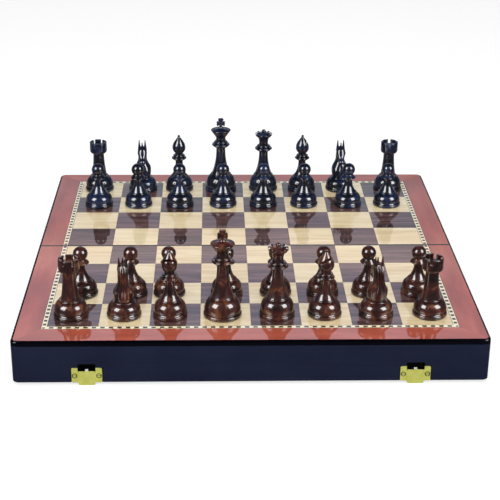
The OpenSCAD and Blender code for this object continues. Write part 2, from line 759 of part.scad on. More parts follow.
// Keeper: a plate on the other half, with a window just inside its edge for the hook
module keeper() {
    difference() {
        translate([-keeper_w / 2, seat_y, rim_z]) cube([keeper_w, plate_t, keeper_h]);
        translate([-window_w / 2, seat_y - over, rim_z + lip_h])
            cube([window_w, plate_t + 2 * over, window_h]);
        for (s = [-1, 1]) translate([s * keeper_screw_x, seat_y + plate_t, keeper_screw_z])
            rotate([90, 0, 0]) screw(latch_head_r, screw_clear);
    }
}

module front_half() {
    mirror([0, 1, 0]) children();
}

module front_frame() {
    color(lacquer) front_half() difference() {
        frame_walls();
        latch_cuts();
    }
}

module rear_frame() {
    color(lacquer) difference() {
        frame_walls();
        at_latches() translate([-keeper_w / 2 - plate_gap, seat_y, rim_z - over])
            cube([keeper_w + 2 * plate_gap, plate_in + over, keeper_h + plate_gap + over]);
        at_plate_screws(keeper_screw_x, keeper_screw_z) screw(latch_head_r, screw_clear);
    }
}

module front_panel() { color(lacquer) front_half() panel(); }
module rear_panel() { color(lacquer) panel(); }
module front_light_squares() { color("#e8d6ab") front_half() squares(false); }
module front_dark_squares() { color("#6d6068") front_half() squares(true); }
module rear_light_squares() { color("#e8d6ab") squares(true); }
module rear_dark_squares() { color("#6d6068") squares(false); }
module front_border_band() { color("#b0706a") front_half() border_band(); }
module rear_border_band() { color("#b0706a") border_band(); }
module front_inlay_strip() { color("#e6dcc0") front_half() inlay_strip(); }
module rear_inlay_strip() { color("#e6dcc0") inlay_strip(); }
module front_lining() { color("#20442f") front_half() lining(); }
module rear_lining() { color("#20442f") lining(); }
module front_dividers() { color("#8a5a3c") front_half() dividers(); }
module rear_dividers() { color("#8a5a3c") dividers(); }
module front_hinge_leaves() { color(brass) front_half() hinge_leaves(0); }
module rear_hinge_leaves() { color(brass) hinge_leaves(1); }
module hinge_pins() { color(brass) at_hinges() translate([0, 0, fold_z]) rod(hinge_pin_r, hinge_l); }
module latch_plates() { color(brass) front_half() at_latches() latch_plate(); }
module keepers() { color(brass) at_latches() keeper(); }
module left_latch_flap() { color(brass) front_half() translate([-latch_x, 0, 0]) latch_flap(); }
module right_latch_flap() { color(brass) front_half() translate([latch_x, 0, 0]) latch_flap(); }

module latch_pins() {
    color(brass) front_half() at_latches()
        translate([0, latch_pin_y, latch_pin_z]) rod(latch_pin_r, latch_pin_l);
}

module latch_springs() {
    color(spring_steel) front_half() at_latches() latch_spring();
}

module front_screws() {
    color(brass) front_half() {
        at_plate_screws(latch_screw_x, latch_screw_z) screw(latch_head_r);
        at_hinge_screws() screw(hinge_head_r);
    }
}

module rear_screws() {
    color(brass) {
        at_plate_screws(keeper_screw_x, keeper_screw_z) screw(latch_head_r);
        at_hinge_screws() screw(hinge_head_r);
    }
}

module turned(outline) { rotate_extrude() polygon(outline); }

module pawn() { turned(pawn_outline); }

module rook() {
    difference() {
        turned(rook_outline);
        for (i = [0:merlons - 1]) rotate(i * 360 / merlons)
            translate([0, -merlon_gap / 2, rook_h - merlon_h])
                cube([turret_r + over, merlon_gap, merlon_h + over]);
    }
}

module bishop() {
    difference() {
        turned(bishop_outline);
        translate([slit_x, 0, slit_z]) rotate([0, -slit_angle, 0])
            translate([0, -mitre_r - over, -slit_t / 2])
                cube([2 * mitre_r, 2 * (mitre_r + over), slit_t]);
    }
}

module queen() {
    difference() {
        turned(queen_outline);
        for (i = [0:tines - 1]) rotate((i + 0.5) * 360 / tines)
            translate([coronet_r, 0, tine_gap_z]) rod(tine_gap_r, tine_gap_l);
    }
}

module king() {
    turned(king_outline);
    translate([0, cross_t / 2, cross_z]) rotate([90, 0, 0]) linear_extrude(cross_t) polygon(cross_outline);
}

// Solid through rings of equally many points, each seen anticlockwise from the next one
module loft(rings) {
    n = len(rings[0]);
    last = len(rings) - 1;
    polyhedron(
        points = [for (ring = rings) each ring],
        faces = concat(
            [[for (k = [0:n - 1]) k]],
            [for (i = [0:last - 1], k = [0:n - 1]) let (j = (k + 1) % n)
                each [[i * n + k, i * n + n + k, i * n + n + j], [i * n + k, i * n + n + j, i * n + j]]],
            [[for (k = [n - 1:-1:0]) last * n + k]]
        )
    );
}

// Pointed lock or ear from its root up to height top
module spike(root, top) {
    translate([carve_x * root[0], root[1], knight_base_z + carve_z * root[2]])
        cylinder(r1 = ear_root_r, r2 = ear_tip_r, h = top - knight_base_z - carve_z * root[2]);
}

module knight() {
    turned(knight_foot_outline);
    rotate(90) {
        loft([for (row = smooth_points(NECK, 2)) neck_ring(row)]);
        loft([for (row = smooth_points(HEAD, 2)) head_ring(row)]);
        for (s = [0, 1]) mirror([0, s, 0]) spike(ear_root, knight_h);
        spike(forelock_root, knight_h - forelock_short);
    }
}

module piece(kind) {
    if (kind == "king") king();
    if (kind == "queen") queen();
    if (kind == "bishop") bishop();
    if (kind == "knight") knight();
    if (kind == "rook") rook();
    if (kind == "pawn") pawn();
}

// One piece on file i, on rank j counted from the front, moved along the file by its dx
module standing(kind, i, j, dx, dy, turn) {
    x = (i - files / 2 + 0.5) * square + dx;
    y = (j - ranks + 0.5) * square + dy;
    translate([x, y, top_z]) rotate(turn) piece(kind);
}

module brown_back(i) {
    color(brown) standing(BACK_RANK[i], i, 0, brown_back_dx[i], rank_dy[0], brown_turn[i]);
}
module brown_pawn(i) { color(brown) standing("pawn", i, 1, brown_pawn_dx[i], rank_dy[1], 0); }
module black_pawn(i) { color(black) standing("pawn", i, 6, black_pawn_dx[i], rank_dy[2], 0); }
module black_back(i) {
    color(black) standing(BACK_RANK[i], i, 7, black_back_dx[i], rank_dy[3], black_turn[i]);
}

front_frame();
front_panel();
front_light_squares();
front_dark_squares();
front_border_band();
front_inlay_strip();
front_lining();
front_dividers();
front_hinge_leaves();
hinge_pins();
latch_plates();
latch_pins();
latch_springs();
front_screws();
left_latch_flap();
right_latch_flap();
rear_frame();
rear_panel();
rear_light_squares();
rear_dark_squares();
rear_border_band();
rear_inlay_strip();
rear_lining();
rear_dividers();
rear_hinge_leaves();
keepers();
rear_screws();
for (i = [0:files - 1]) {
    brown_back(i);
    brown_pawn(i);
    black_pawn(i);
    black_back(i);
}
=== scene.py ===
import json
import bpy
import bmesh
import numpy as np
from mathutils import Matrix, Vector


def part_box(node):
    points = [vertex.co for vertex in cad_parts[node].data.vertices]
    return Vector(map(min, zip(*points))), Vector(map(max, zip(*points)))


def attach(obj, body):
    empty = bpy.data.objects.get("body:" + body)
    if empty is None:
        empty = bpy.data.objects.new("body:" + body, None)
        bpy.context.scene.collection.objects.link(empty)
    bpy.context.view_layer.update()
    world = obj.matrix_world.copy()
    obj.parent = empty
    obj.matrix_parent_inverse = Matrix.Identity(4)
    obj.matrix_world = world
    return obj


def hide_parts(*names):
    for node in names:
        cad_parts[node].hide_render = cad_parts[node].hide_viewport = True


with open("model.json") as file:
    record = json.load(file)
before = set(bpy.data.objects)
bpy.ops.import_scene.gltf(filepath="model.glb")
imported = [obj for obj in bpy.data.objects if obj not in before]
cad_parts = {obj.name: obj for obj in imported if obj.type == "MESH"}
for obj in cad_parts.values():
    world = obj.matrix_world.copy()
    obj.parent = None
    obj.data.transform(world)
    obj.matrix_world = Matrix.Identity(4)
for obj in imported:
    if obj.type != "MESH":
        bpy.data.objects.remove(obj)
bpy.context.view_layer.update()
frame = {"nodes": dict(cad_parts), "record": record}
nodes = frame["nodes"]
bodies = frame["record"]["behaviour"]["bodies"]


# Trays: the two half boxes are medium-density board walls, mitred and glued under a
# panel, sprayed with black polyester lacquer and buffed, so every arris is softened.

def linear(colour):
    """An sRGB hex colour as linear red, green, blue and alpha."""
    code = np.array([int(colour[i:i + 2], 16) for i in (1, 3, 5)]) / 255
    low, high = code / 12.92, ((code + 0.055) / 1.055) ** 2.4
    return (*np.where(code <= 0.04045, low, high), 1.0)


def add(tree, kind, inputs=None, **settings):
    """Adds a node with its settings. In inputs an output socket is linked, and anything
    else is the value of the socket."""
    made = tree.nodes.new("ShaderNode" + kind)
    for name, value in settings.items():
        setattr(made, name, value)
    for name, value in (inputs or {}).items():
        if isinstance(value, bpy.types.NodeSocket):
            tree.links.new(value, made.inputs[name])
        else:
            made.inputs[name].default_value = value
    return made


def finish(name):
    """A new material with an empty node tree and an output node."""
    made = bpy.data.materials.new(name)
    made.use_nodes = True
    made.node_tree.nodes.clear()
    return made, made.node_tree, add(made.node_tree, "OutputMaterial")


def ramp(tree, factor, stops, mode="LINEAR"):
    """A colour ramp through (place, hex colour) stops."""
    made = add(tree, "ValToRGB", {"Fac": factor})
    made.color_ramp.interpolation = mode
    while len(made.color_ramp.elements) < len(stops):
        made.color_ramp.elements.new(0.5)
    for element, (place, colour) in zip(made.color_ramp.elements, stops):
        element.position, element.color = place, linear(colour)
    return made


def tray_lacquer(name, dark, pale, gloss):
    """Sprayed polyester lacquer, buffed, with a faint orange peel 6 mm across."""
    made, tree, out = finish(name)
    place = add(tree, "TexCoord")
    peel = add(tree, "TexNoise", {
        "Vector": place.outputs["Object"], "Scale": 160.0, "Detail": 2.0})
    cloud = add(tree, "TexNoise", {
        "Vector": place.outputs["Object"], "Scale": 22.0, "Detail": 3.0})
    tone = ramp(tree, cloud.outputs["Fac"], [(0.3, dark), (0.7, pale)])
    haze = add(tree, "MapRange", {"Value": cloud.outputs["Fac"], "To Min": 0.07, "To Max": 0.13})
    ripple = add(tree, "Bump", {
        "Height": peel.outputs["Fac"], "Strength": 0.05, "Distance": 0.0002})
    coat = add(tree, "BsdfPrincipled", {
        "Base Color": tone.outputs["Color"], "Roughness": haze.outputs["Result"],
        "Specular IOR Level": gloss, "Normal": ripple.outputs["Normal"]})
    tree.links.new(coat.outputs["BSDF"], out.inputs["Surface"])
    return made


# The walls are sprayed blue-black, and the panels' rounded edges a deeper black.
LACQUERS = {"frame": tray_lacquer("blue_black_wall_lacquer", "#1a1e33", "#20253a", 0.3),
            "panel": tray_lacquer("black_edge_lacquer_and_pocket_shade", "#030308", "#05050d", 0.22)}


def dressed(node, name, material, soften):
    """A merged copy of a CAD node with softened arrises that stands in for the node."""
    mesh = nodes[node].data.copy()
    work = bmesh.new()
    work.from_mesh(mesh)
    bmesh.ops.remove_doubles(work, verts=work.verts, dist=1e-6)
    bmesh.ops.dissolve_limit(work, angle_limit=0.002, verts=work.verts, edges=work.edges)
    work.to_mesh(mesh)
    work.free()
    mesh.materials.clear()
    mesh.materials.append(material)
    mesh.shade_smooth()
    mesh.set_sharp_from_angle(angle=np.radians(31))
    made = bpy.data.objects.new(name, mesh)
    bpy.context.scene.collection.objects.link(made)
    if soften:
        bevel = made.modifiers.new("softened_arrises", "BEVEL")
        bevel.width, bevel.segments, bevel.limit_method = soften, 2, "ANGLE"
        bevel.angle_limit = np.radians(32)
        bevel.harden_normals = True
        bevel.use_clamp_overlap = True
    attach(made, next(b for b, held in bodies.items() if node in held))
    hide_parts(node)
    return made


def surfaced(node, material):
    """Gives a CAD node a material, and leaves its shape as it is."""
    mesh = nodes[node].data
    mesh.materials.clear()
    mesh.materials.append(material)


for half in ("front", "rear"):
    for part in ("frame", "panel"):
        piece = dressed(f"{half}_{part}", f"{half}_{part}_lacquered", LACQUERS[part], 0.0005)

# The finger pockets and the plates' recesses are routed hollows; their faces take the panels'
# deeper black as painted shade.
flap_low, flap_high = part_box("right_latch_flap")
LATCH_X = (flap_low.x + flap_high.x) / 2
POCKET_REACH, POCKET_TOP = 0.0142, 0.026
WALL_OUT, WALL_IN = -0.1998, -0.17
walls = bpy.data.objects["front_frame_lacquered"].data
walls.materials.append(LACQUERS["panel"])
# Faces inside the pockets get the deeper black: painted shade.
for face in walls.polygons:
    x, y, z = face.center
    if abs(abs(x) - LATCH_X) < POCKET_REACH and WALL_OUT < y < WALL_IN and z < POCKET_TOP:
        face.material_index = 1


# Squares: sawn veneers laid with the grain along X, dark walnut and pale maple, under a
# thick clear lacquer that is flatted and polished, so pieces mirror in it.

SQUARE, SPRAYED = 0.043, 0.0014


def edged(tree, colour):
    """The veneer's colour, but black within SPRAYED of the fold on both sides, where the
    rounded edges of the two panels are sprayed."""
    place = add(tree, "TexCoord")
    axes = add(tree, "SeparateXYZ", {"Vector": place.outputs["Object"]})
    off = add(tree, "Math", {0: axes.outputs["Y"]}, operation="ABSOLUTE")
    sprayed = add(tree, "Math", {0: off.outputs["Value"], 1: SPRAYED}, operation="LESS_THAN")
    made = add(tree, "Mix", {0: sprayed.outputs["Value"]}, data_type="RGBA")
    tree.links.new(colour, made.inputs[6])
    made.inputs[7].default_value = linear("#050508")
    return made.outputs[2]


def polished(tree, out, colour):
    """Wood of a colour under clear lacquer that is flatted and polished to a mirror."""
    wood = add(tree, "BsdfPrincipled", {
        "Base Color": edged(tree, colour), "Roughness": 0.5, "Specular IOR Level": 0.2,
        "Coat Weight": 1.0, "Coat Roughness": 0.02, "Coat IOR": 1.5})
    tree.links.new(wood.outputs["BSDF"], out.inputs["Surface"])


def veneer(name, stops, streak, cast):
    """Polished veneer with its grain along X. Each square has its own offset and tone,
    found from the cell of a grid of squares that it lies in. streak is the share of the
    pores in the tone, and cast that of the square."""
    made, tree, out = finish(name)
    place = add(tree, "TexCoord")
    cell = add(tree, "VectorMath", {0: place.outputs["Object"], 1: (SQUARE,) * 3},
               operation="DIVIDE")
    whole = add(tree, "VectorMath", {0: cell.outputs["Vector"]}, operation="FLOOR")
    leaf = add(tree, "TexWhiteNoise", {"Vector": whole.outputs["Vector"]})
    shift = add(tree, "VectorMath", {0: leaf.outputs["Color"], 1: (0.7, 0.7, 0.7)},
                operation="MULTIPLY")
    moved = add(tree, "VectorMath", {0: place.outputs["Object"], 1: shift.outputs["Vector"]},
                operation="ADD")
    along = add(tree, "Mapping", {"Vector": moved.outputs["Vector"], "Scale": (9, 110, 1)})
    grain = add(tree, "TexNoise", {
        "Vector": along.outputs["Vector"], "Scale": 1.0, "Detail": 6.0, "Roughness": 0.62,
        "Distortion": 0.9})
    fine = add(tree, "Mapping", {"Vector": moved.outputs["Vector"], "Scale": (40, 900, 1)})
    pores = add(tree, "TexNoise", {
        "Vector": fine.outputs["Vector"], "Scale": 1.0, "Detail": 2.0})
    mixed = add(tree, "Math", {0: pores.outputs["Fac"], 1: streak, 2: grain.outputs["Fac"]},
                operation="MULTIPLY_ADD")
    toned = add(tree, "Math", {0: leaf.outputs["Value"], 1: cast, 2: mixed.outputs["Value"]},
                operation="MULTIPLY_ADD")
    polished(tree, out, ramp(tree, toned.outputs["Value"], stops).outputs["Color"])
    return made


walnut = veneer("lacquered_walnut_veneer", [
    (0.36, "#1e100e"), (0.49, "#37211f"), (0.6, "#4f3431"), (0.75, "#6c4f4b")], 0.14, 0.08)
maple = veneer("lacquered_maple_veneer", [
    (0.36, "#c9b287"), (0.52, "#d7c197"), (0.62, "#dfcca3"), (0.78, "#e8d8b4")], 0.1, 0.1)
for half in ("front", "rear"):
    surfaced(f"{half}_light_squares", maple)
    surfaced(f"{half}_dark_squares", walnut)


# Border band: broad strips of dyed reddish-brown veneer, mitred at the corners, with the
# grain along each strip, under the same polished lacquer. The side strips are painted darker
# as painted shade, for light that falls less on them than on the front strip.

dyed, tree, out = finish("lacquered_dyed_veneer")
place = add(tree, "TexCoord")
axes = add(tree, "SeparateXYZ", {"Vector": place.outputs["Object"]})
SIDE_PAINTED_SHADE = -0.1
width = add(tree, "Math", {0: axes.outputs["X"]}, operation="ABSOLUTE")
depth = add(tree, "Math", {0: axes.outputs["Y"]}, operation="ABSOLUTE")
beside = add(tree, "Math", {0: width.outputs["Value"], 1: depth.outputs["Value"]},
             operation="GREATER_THAN")
along = add(tree, "Mapping", {"Vector": place.outputs["Object"], "Scale": (14, 60, 1)})
down = add(tree, "Mapping", {"Vector": place.outputs["Object"], "Scale": (60, 14, 1)})
laid = add(tree, "Mix", {0: beside.outputs["Value"]}, data_type="VECTOR")
tree.links.new(along.outputs["Vector"], laid.inputs[4])
tree.links.new(down.outputs["Vector"], laid.inputs[5])
grain = add(tree, "TexNoise", {
    "Vector": laid.outputs[1], "Scale": 1.0, "Detail": 5.0, "Roughness": 0.55})
pores = add(tree, "TexNoise", {"Vector": place.outputs["Object"], "Scale": 900.0, "Detail": 2.0})
mixed = add(tree, "Math", {0: pores.outputs["Fac"], 1: 0.1, 2: grain.outputs["Fac"]},
            operation="MULTIPLY_ADD")
# The side strips' tone is lowered here: painted shade.
shade = add(tree, "Math", {
    0: beside.outputs["Value"], 1: SIDE_PAINTED_SHADE, 2: mixed.outputs["Value"]},
    operation="MULTIPLY_ADD")
colour = ramp(tree, shade.outputs["Value"], [
    (0.15, "#7e3829"), (0.35, "#903f2c"), (0.55, "#a24a36"), (0.75, "#b15a45")])
polished(tree, out, colour.outputs["Color"])
for half in ("front", "rear"):
    surfaced(f"{half}_border_band", dyed)


# Inlay banding: a bought strip of maple with ebony blocks set along its middle and a
# black line down each side, mitred at the two outer corners of each half. A block's
# length is a share of the pitch, and the widths are shares from the strip's middle.

STRIP_IN, STRIP_OUT = 0.17205, 0.17695
STRIP_TOP, STRIP_THICK = 0.04015, 0.0006
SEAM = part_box("rear_inlay_strip")[0].y
BLOCK_PITCH, BLOCK_SHARE = 0.00717, 0.52
BLOCK_HALF, LINE_FROM = 0.29, 0.43

banding, tree, out = finish("lacquered_inlay_banding")
strip = add(tree, "UVMap", uv_map="along_and_across")
axes = add(tree, "SeparateXYZ", {"Vector": strip.outputs["UV"]})
beat = add(tree, "Math", {0: axes.outputs["X"], 1: BLOCK_PITCH}, operation="DIVIDE")
step = add(tree, "Math", {0: beat.outputs["Value"]}, operation="FRACT")
in_block = add(tree, "Math", {0: step.outputs["Value"], 1: BLOCK_SHARE},
               operation="LESS_THAN")
offset = add(tree, "Math", {0: axes.outputs["Y"], 1: 0.5}, operation="SUBTRACT")
reach = add(tree, "Math", {0: offset.outputs["Value"]}, operation="ABSOLUTE")
in_row = add(tree, "Math", {0: reach.outputs["Value"], 1: BLOCK_HALF}, operation="LESS_THAN")
at_edge = add(tree, "Math", {0: reach.outputs["Value"], 1: LINE_FROM},
              operation="GREATER_THAN")
block = add(tree, "Math", {0: in_block.outputs["Value"], 1: in_row.outputs["Value"]},
            operation="MULTIPLY")
dark = add(tree, "Math", {0: block.outputs["Value"], 1: at_edge.outputs["Value"]},
           operation="MAXIMUM")
place = add(tree, "TexCoord")
figure = add(tree, "TexNoise", {"Vector": place.outputs["Object"], "Scale": 700.0, "Detail": 3.0})
pale = ramp(tree, figure.outputs["Fac"], [(0.3, "#e2d2a6"), (0.7, "#f2e8cc")])
ebony = ramp(tree, figure.outputs["Fac"], [(0.3, "#1c1716"), (0.7, "#332b29")])
colour = add(tree, "Mix", data_type="RGBA")
for socket, source in ((0, dark.outputs["Value"]), (6, pale.outputs["Color"]),
                       (7, ebony.outputs["Color"])):
    tree.links.new(source, colour.inputs[socket])
polished(tree, out, colour.outputs[2])


def new_piece(name, verts, faces, material, smooth=None):
    """A piece from arrays of vertices and faces. smooth is the angle in degrees past
    which an edge stays sharp."""
    mesh = bpy.data.meshes.new(name)
    mesh.from_pydata(np.asarray(verts).tolist(), [], [list(map(int, f)) for f in faces])
    mesh.materials.append(material)
    if smooth:
        mesh.shade_smooth()
        mesh.set_sharp_from_angle(angle=np.radians(smooth))
    mesh.update()
    made = bpy.data.objects.new(name, mesh)
    bpy.context.scene.collection.objects.link(made)
    return made


for half, side in (("front", -1), ("rear", 1)):
    # The strip's path runs up the left side, across the outer side and down the right.
    a, b = STRIP_IN, STRIP_OUT
    inner = np.array([(-a, SEAM), (-a, a), (a, a), (a, SEAM)]) * (1, side)
    outer = np.array([(-b, SEAM), (-b, b), (b, b), (b, SEAM)]) * (1, side)
    verts, faces, flat = [], [], []
    for k in range(3):
        ring = [inner[k], inner[k + 1], outer[k + 1], outer[k]][::-side]
        start = len(verts)
        verts += [(x, y, STRIP_TOP) for x, y in ring]
        verts += [(x, y, STRIP_TOP - STRIP_THICK) for x, y in ring]
        top = [start + i for i in range(4)]
        low = [v + 4 for v in top]
        faces += [top[::-1], low]
        faces += [(top[i], top[(i + 1) % 4], low[(i + 1) % 4], low[i]) for i in range(4)]
        for x, y in ring:
            along, off = (x, abs(y)) if k == 1 else (y, abs(x))
            flat.append((along + 0.5, (off - a) / (b - a)))
        flat += flat[-4:]
    piece = new_piece(f"{half}_inlay_banding", verts, faces, banding)
    layer = piece.data.uv_layers.new(name="along_and_across")
    corner = np.empty(len(piece.data.loops), np.int32)
    piece.data.loops.foreach_get("vertex_index", corner)
    layer.data.foreach_set("uv", np.array(flat)[corner].ravel())
    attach(piece, f"{half}_half")
    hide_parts(f"{half}_inlay_strip")


# Inside: dark green felt glued under each panel, and satin beech dividers that part the
# bays. They show only when the box is lifted or folded.

felt, tree, out = finish("pressed_wool_felt")
place = add(tree, "TexCoord")
fibre = add(tree, "TexNoise", {
    "Vector": place.outputs["Object"], "Scale": 1400.0, "Detail": 4.0, "Roughness": 0.7})
patch = add(tree, "TexNoise", {"Vector": place.outputs["Object"], "Scale": 60.0, "Detail": 3.0})
mixed = add(tree, "Math", {0: patch.outputs["Fac"], 1: 0.5, 2: fibre.outputs["Fac"]},
            operation="MULTIPLY_ADD")
colour = ramp(tree, mixed.outputs["Value"], [(0.55, "#12301f"), (0.95, "#2c5a3d")])
nap = add(tree, "Bump", {"Height": fibre.outputs["Fac"], "Strength": 0.6, "Distance": 0.0004})
cloth = add(tree, "BsdfPrincipled", {
    "Base Color": colour.outputs["Color"], "Roughness": 0.95, "Sheen Weight": 0.35,
    "Sheen Roughness": 0.5, "Normal": nap.outputs["Normal"]})
tree.links.new(cloth.outputs["BSDF"], out.inputs["Surface"])

beech, tree, out = finish("satin_stained_beech")
place = add(tree, "TexCoord")
along = add(tree, "Mapping", {"Vector": place.outputs["Object"], "Scale": (60, 60, 400)})
grain = add(tree, "TexNoise", {"Vector": along.outputs["Vector"], "Scale": 1.0, "Detail": 5.0})
colour = ramp(tree, grain.outputs["Fac"], [
    (0.3, "#6e4228"), (0.55, "#8a5a3c"), (0.75, "#a06f4c")])
wood = add(tree, "BsdfPrincipled", {
    "Base Color": colour.outputs["Color"], "Roughness": 0.42, "IOR": 1.5})
tree.links.new(wood.outputs["BSDF"], out.inputs["Surface"])

for half in ("front", "rear"):
    surfaced(f"{half}_lining", felt)
    piece = dressed(f"{half}_dividers", f"{half}_dividers_eased", beech, 0.0004)


# Brass fittings: butt hinges, push latches and keepers stamped from sheet brass, and
# slotted screws, all bright-dipped, so they gleam softly in a greenish yellow.

brass, tree, out = finish("bright_dipped_brass")
place = add(tree, "TexCoord")
cloud = add(tree, "TexNoise", {
    "Vector": place.outputs["Object"], "Scale": 180.0, "Detail": 3.0})
colour = ramp(tree, cloud.outputs["Fac"], [(0.3, "#ecec74"), (0.7, "#f8f88a")])
worn = add(tree, "MapRange", {"Value": cloud.outputs["Fac"], "To Min": 0.3, "To Max": 0.42})
dent = add(tree, "Bump", {"Height": cloud.outputs["Fac"], "Strength": 0.04, "Distance": 0.0002})
metal = add(tree, "BsdfPrincipled", {
    "Base Color": colour.outputs["Color"], "Metallic": 0.5, "Roughness": worn.outputs["Result"],
    "Normal": dent.outputs["Normal"]})
tree.links.new(metal.outputs["BSDF"], out.inputs["Surface"])

# The leaf springs behind the flaps are rolled spring steel, bright on their faces.
spring, tree, out = finish("bright_rolled_steel")
place = add(tree, "TexCoord")
along = add(tree, "Mapping", {"Vector": place.outputs["Object"], "Scale": (2600, 2600, 160)})
roll = add(tree, "TexNoise", {"Vector": along.outputs["Vector"], "Scale": 1.0, "Detail": 3.0})
colour = ramp(tree, roll.outputs["Fac"], [(0.3, "#eef0f2"), (0.7, "#fbfbfb")])
worn = add(tree, "MapRange", {"Value": roll.outputs["Fac"], "To Min": 0.35, "To Max": 0.5})
metal = add(tree, "BsdfPrincipled", {
    "Base Color": colour.outputs["Color"], "Metallic": 0.35, "Roughness": worn.outputs["Result"]})
tree.links.new(metal.outputs["BSDF"], out.inputs["Surface"])
piece = dressed("latch_springs", "latch_springs_rolled", spring, 0.00005)

for node, soften in (
        ("front_hinge_leaves", 0.00015), ("rear_hinge_leaves", 0.00015),
        ("hinge_pins", 0.0001), ("latch_plates", 0.0002), ("latch_pins", 0.0001),
        ("left_latch_flap", 0.0002), ("right_latch_flap", 0.0002), ("keepers", 0.0002)):
    piece = dressed(node, node + "_bright", brass, soften)

# The screws' slots and a ring round each head are coloured near-black as painted shade and
# shadow.
# Each ring is a flat sheet a hair in front of the head, half of it on each side of its rim.
screw_shade, tree, out = finish("painted_shade_at_screws")
place = add(tree, "TexCoord")
shade_mottle = add(tree, "TexNoise", {
    "Vector": place.outputs["Object"], "Scale": 2500.0, "Detail": 3.0})
colour = ramp(tree, shade_mottle.outputs["Fac"], [(0.35, "#0d0b05"), (0.65, "#2c2710")])
shade_surface = add(tree, "BsdfPrincipled", {
    "Base Color": colour.outputs["Color"], "Roughness": 0.75})
tree.links.new(shade_surface.outputs["BSDF"], out.inputs["Surface"])
HEAD_R, SHADE_RING_HALF, PROUD, LATCH_REACH, SKIN = 0.00195, 0.00034, 0.00002, 0.02, 0.00001
turn = np.linspace(0, 2 * np.pi, 48, endpoint=False)
ring = np.column_stack((np.cos(turn), 0 * turn, np.sin(turn)))
for half, side in (("front", -1), ("rear", 1)):
    piece = dressed(f"{half}_screws", f"{half}_screws_slotted", brass, 0)
    mesh = piece.data
    mesh.materials.append(screw_shade)
    points = np.array([v.co for v in mesh.vertices])
    face_y, face_z = abs(points[:, 1]).max(), points[:, 2].min()
    # The slots' faces, behind the head's front, take the painted shade.
    for face in mesh.polygons:
        if abs(face.center.y) < face_y - SKIN and face.center.z > face_z + SKIN:
            face.material_index = 1
    heads = points[abs(points[:, 1]) > face_y - SKIN]
    parts = []
    for latch in (-LATCH_X, LATCH_X):
        for hand in (-1, 1):
            off = (heads[:, 0] - latch) * hand
            near = heads[(off > 0) & (off < LATCH_REACH)]
            middle = (near.min(0) + near.max(0)) / 2 + (0, side * PROUD, 0)
            inner = ring * (HEAD_R - SHADE_RING_HALF) + middle
            outer = ring * (HEAD_R + SHADE_RING_HALF) + middle
            count, start = len(turn), 2 * len(turn) * len(parts)
            i = np.arange(count)
            k = (i + 1) % count
            band = np.stack((i, k, k + count, i + count)[::side], -1) + start
            parts.append((np.vstack((inner, outer)), band))
    # Each ring is a painted shadow round a head's rim.
    shade_ring = new_piece(f"{half}_screw_shade_rings", np.vstack([v for v, _ in parts]),
                      np.vstack([f for _, f in parts]), screw_shade)
    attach(shade_ring, f"{half}_half")


# Playing pieces: turned on a lathe, the knights carved, then lacquered to a full gloss.
# The brown men have a marbled dark brown stain, and the black ones a blue-black one.

def marbled(name, stops, scale):
    """Glossy lacquer over a swirling stain whose veins are about 1 / scale metres apart."""
    made, tree, out = finish(name)
    place = add(tree, "TexCoord")
    drawn = add(tree, "Mapping", {"Vector": place.outputs["Object"], "Scale": (1, 1, 0.7)})
    warp = add(tree, "TexNoise", {
        "Vector": drawn.outputs["Vector"], "Scale": scale * 0.6, "Detail": 2.0})
    bent = add(tree, "VectorMath", {
        0: warp.outputs["Color"], 1: (0.018,) * 3, 2: drawn.outputs["Vector"]},
        operation="MULTIPLY_ADD")
    vein = add(tree, "TexNoise", {
        "Vector": bent.outputs["Vector"], "Scale": scale, "Detail": 5.0, "Roughness": 0.6,
        "Distortion": 0.6})
    colour = ramp(tree, vein.outputs["Fac"], stops)
    gloss = add(tree, "BsdfPrincipled", {
        "Base Color": colour.outputs["Color"], "Roughness": 0.35, "Specular IOR Level": 0.2,
        "Coat Weight": 1.0, "Coat Roughness": 0.035, "Coat IOR": 1.52})
    tree.links.new(gloss.outputs["BSDF"], out.inputs["Surface"])
    return made


brown_stain = marbled("marbled_brown_lacquer", [
    (0.34, "#120605"), (0.46, "#2c1211"), (0.56, "#421c17"), (0.62, "#6b3f22"),
    (0.66, "#4a2517"), (0.76, "#1c0a08")], 95.0)
black_stain = marbled("blue_black_lacquer", [
    (0.36, "#030714"), (0.5, "#081026"), (0.6, "#152448"), (0.7, "#0a142d")], 75.0)


def arc(centre, radius, start, end, steps=14):
    """Points at equal angles, in degrees, along a circle round the centre."""
    turn = np.radians(np.linspace(start, end, steps))
    return np.column_stack((
        centre[0] + radius * np.cos(turn), centre[1] + radius * np.sin(turn)))


def stem(low, high, power, steps=24):
    """Radius falls from low to high as (1 - u) to a power while the height rises with u."""
    u = np.linspace(0, 1, steps)
    return np.column_stack((
        high[0] + (low[0] - high[0]) * (1 - u) ** power, low[1] + (high[1] - low[1]) * u))


def through(points, steps=8):
    """Catmull-Rom curve through points: each span is a cubic of its four nearest ones."""
    held = np.asarray(points, float)
    held = np.vstack((held[:1], held, held[-1:]))
    u = np.linspace(0, 1, steps, endpoint=False)[None, :, None]
    p, q, r, s = (held[i:len(held) - 3 + i, None, :] for i in range(4))
    span = 0.5 * (2 * q + (r - p) * u + (2 * p - 5 * q + 4 * r - s) * u ** 2
                  + (3 * q - p - 3 * r + s) * u ** 3)
    return np.vstack((span.reshape(-1, held.shape[1]), held[-1:]))


def foot(radius, dome, bead):
    """Turned foot: a rounded disc, a bulging dome up to height dome and a bead on it."""
    inner, widest, middle = bead - 1.2, radius - 0.7, 5.8
    a = np.radians(np.linspace(-35, 90, 26))
    bulge = np.column_stack((
        inner + (widest - inner) * np.cos(a),
        middle + (dome - middle) * np.where(a < 0, 0.3, 1) * np.sin(a)))
    return np.vstack(([[0, 0]], arc((radius - 1, 1), 1, -90, 0, 8),
                      arc((radius - 1.4, 2.2), 1.4, 0, 80, 10), bulge,
                      arc((bead - 0.7, dome + 0.8), 0.8, -80, 90, 12)))


